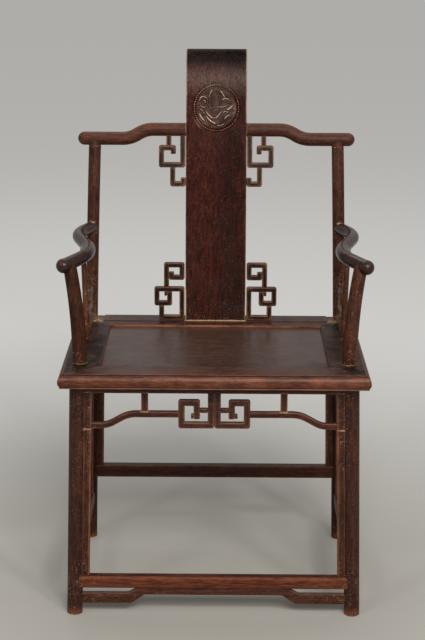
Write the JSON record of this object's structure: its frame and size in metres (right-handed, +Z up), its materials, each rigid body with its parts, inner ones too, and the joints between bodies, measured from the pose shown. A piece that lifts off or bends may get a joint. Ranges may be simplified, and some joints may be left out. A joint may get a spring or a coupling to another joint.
{
  "type": "official hat chair",
  "caption": "High-backed armchair with a tall rolled splat, bowed arms on slender posts, a framed panel seat, splayed legs and humped rails with square scrolls.",
  "frame": {"origin": "middle of the bounding box on the floor, under the seat", "axes": "+Z up, the chair faces -Y, +X to the right of a person who looks at its front"},
  "size_m": [0.633, 0.5472, 1.1019],
  "materials": {
    "frame_wood": "dark reddish brown hardwood, thin old lacquer, satin",
    "seat_wood": "brown hardwood seat with worn lacquer and a dusty sheen",
    "splat_wood": "dark reddish brown hardwood, satin, carved"
  },
  "bodies": {
    "root": {"arm_front_post_left": "frame_wood", "arm_front_post_right": "frame_wood", "arm_left": "frame_wood", "arm_middle_post_left": "frame_wood", "arm_middle_post_right": "frame_wood", "arm_right": "frame_wood", "back_splat": "splat_wood", "crest_bracket_left": "splat_wood", "crest_bracket_right": "splat_wood", "crest_rail_left": "frame_wood", "crest_rail_right": "frame_wood", "foot_rail": "frame_wood", "foot_rail_apron": "frame_wood", "front_fret_left": "splat_wood", "front_fret_right": "splat_wood", "front_leg_left": "frame_wood", "front_leg_right": "frame_wood", "hump_rail_front_left": "frame_wood", "hump_rail_front_right": "frame_wood", "hump_rail_left": "frame_wood", "hump_rail_rear": "frame_wood", "hump_rail_right": "frame_wood", "hump_strut_front_left": "frame_wood", "hump_strut_front_right": "frame_wood", "hump_strut_left": "frame_wood", "hump_strut_rear_left": "frame_wood", "hump_strut_rear_right": "frame_wood", "hump_strut_right": "frame_wood", "leg_lining_front_left": "frame_wood", "leg_lining_front_right": "frame_wood", "leg_lining_rear_left": "frame_wood", "leg_lining_rear_right": "frame_wood", "leg_lining_side_front_left": "frame_wood", "leg_lining_side_front_right": "frame_wood", "leg_lining_side_rear_left": "frame_wood", "leg_lining_side_rear_right": "frame_wood", "rear_leg_post_left": "frame_wood", "rear_leg_post_right": "frame_wood", "seat_batten_left": "seat_wood", "seat_batten_right": "seat_wood", "seat_panel": "seat_wood", "seat_rail_front": "seat_wood", "seat_rail_left": "seat_wood", "seat_rail_rear": "seat_wood", "seat_rail_right": "seat_wood", "side_bracket_left": "splat_wood", "side_bracket_right": "splat_wood", "splat_bracket_left": "splat_wood", "splat_bracket_right": "splat_wood", "stretcher_left": "frame_wood", "stretcher_rear": "frame_wood", "stretcher_right": "frame_wood", "under_strip_front": "frame_wood", "under_strip_left": "frame_wood", "under_strip_rear": "frame_wood", "under_strip_right": "frame_wood"}
  },
  "joints": []
}
